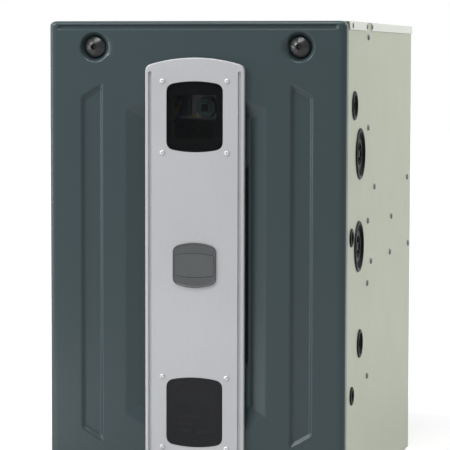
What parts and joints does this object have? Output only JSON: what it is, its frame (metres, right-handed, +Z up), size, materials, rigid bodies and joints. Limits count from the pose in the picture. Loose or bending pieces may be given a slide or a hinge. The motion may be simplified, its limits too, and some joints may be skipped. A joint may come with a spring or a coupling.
{
  "type": "forced air gas furnace",
  "caption": "Upflow condensing gas furnace: steel cabinet with a lift-off grey door, silver centre strip with view windows, burners and heat exchanger over a centrifugal blower.",
  "frame": {"origin": "centre of the footprint's bounding box on the floor, under the cabinet", "axes": "+Z up, the door faces -Y, the cabinet's right side as seen from the front faces +X"},
  "size_m": [0.5394, 0.7742, 0.8636],
  "materials": {
    "cabinet_paint": "pale grey-green baked enamel, satin",
    "galvanised_steel": "spangled galvanised sheet",
    "door_paint": "slate grey baked enamel, semi-gloss",
    "strip_silver": "fine brushed satin",
    "window_tint": "smoked, polished",
    "black_plastic": "moulded, satin",
    "badge_plate": "grey, lightly textured",
    "aluminised_steel": "aluminised sheet and tube, dull",
    "cast_metal": "die cast, as moulded",
    "plain_steel": "plated",
    "circuit_board": "solder resist",
    "insulation": "foil-faced fibre pad",
    "white_plastic": "smooth",
    "ceramic": "fired ceramic",
    "motor_paint": "dark enamel",
    "hose_rubber": "matt",
    "moulded_polymer": "moulded, slightly rough"
  },
  "bodies": {
    "cabinet": {"cabinet_wrapper": "cabinet_paint", "base_pan": "cabinet_paint", "front_top_panel": "cabinet_paint", "supply_flange": "cabinet_paint", "vestibule_panel": "galvanised_steel", "blower_deck": "galvanised_steel", "burner_box": "galvanised_steel", "blower_housing": "galvanised_steel", "blower_motor_mount": "galvanised_steel", "control_tray": "galvanised_steel", "junction_box": "galvanised_steel", "door_switch_body": "black_plastic", "right_gas_port_plug": "black_plastic", "right_vent_port_plug": "black_plastic", "right_air_port_plug": "black_plastic", "right_drain_port_plug": "black_plastic", "right_power_port_plug": "black_plastic", "right_control_port_plug": "black_plastic", "left_gas_port_plug": "black_plastic", "left_vent_port_plug": "black_plastic", "left_air_port_plug": "black_plastic", "left_drain_port_plug": "black_plastic", "left_power_port_plug": "black_plastic", "left_control_port_plug": "black_plastic", "heat_exchanger_tube_1": "aluminised_steel", "heat_exchanger_tube_2": "aluminised_steel", "heat_exchanger_tube_3": "aluminised_steel", "heat_exchanger_tube_4": "aluminised_steel", "rear_header": "aluminised_steel", "secondary_coil": "aluminised_steel", "burner_rack": "aluminised_steel", "gas_valve": "cast_metal", "gas_manifold": "plain_steel", "rollout_switch": "plain_steel", "transformer": "plain_steel", "control_board": "circuit_board", "vent_pipe": "white_plastic", "pressure_switch": "white_plastic", "igniter": "ceramic", "flame_sensor": "ceramic", "inducer_motor": "motor_paint", "blower_motor": "motor_paint", "pressure_hose": "hose_rubber", "drain_hose": "hose_rubber", "collector_box": "moulded_polymer", "inducer_housing": "moulded_polymer", "condensate_trap": "moulded_polymer"},
    "door": {"door_panel": "door_paint", "door_liner": "insulation", "centre_strip": "strip_silver", "upper_window": "window_tint", "lower_window": "window_tint", "badge": "badge_plate"},
    "latch_knob_left": {"knob_left": "black_plastic"},
    "latch_knob_right": {"knob_right": "black_plastic"},
    "blower_wheel_body": {"blower_wheel": "galvanised_steel"},
    "inducer_wheel_body": {"inducer_wheel": "moulded_polymer"},
    "gas_selector": {"gas_valve_switch": "black_plastic"},
    "door_switch_button": {"door_switch_plunger": "white_plastic"}
  },
  "joints": [
    {"name": "door_slide", "type": "slide", "parent": "cabinet", "child": "door", "axis": [0, -1, 0], "range_m": [0, 0.4]},
    {"name": "latch_left_turn", "type": "hinge", "parent": "door", "child": "latch_knob_left", "pos_m": [-0.184, -0.37435, 0.8182], "axis": [0, 1, 0], "range_deg": [0, 90]},
    {"name": "latch_right_turn", "type": "hinge", "parent": "door", "child": "latch_knob_right", "pos_m": [0.184, -0.37435, 0.8182], "axis": [0, 1, 0], "range_deg": [0, 90]},
    {"name": "blower_spin", "type": "hinge", "parent": "cabinet", "child": "blower_wheel_body", "pos_m": [0.016, 0.06565, 0.198], "axis": [1, 0, 0], "continuous": true},
    {"name": "inducer_spin", "type": "hinge", "parent": "cabinet", "child": "inducer_wheel_body", "pos_m": [-0.02, -0.25435, 0.582], "axis": [0, 1, 0], "continuous": true},
    {"name": "gas_selector_turn", "type": "hinge", "parent": "cabinet", "child": "gas_selector", "pos_m": [0.008, -0.32935, 0.712], "axis": [0, 1, 0], "range_deg": [0, 90]},
    {"name": "door_switch_press", "type": "slide", "parent": "cabinet", "child": "door_switch_button", "axis": [0, 1, 0], "range_m": [0, 0.004], "stiffness_N_per_m": 300}
  ]
}
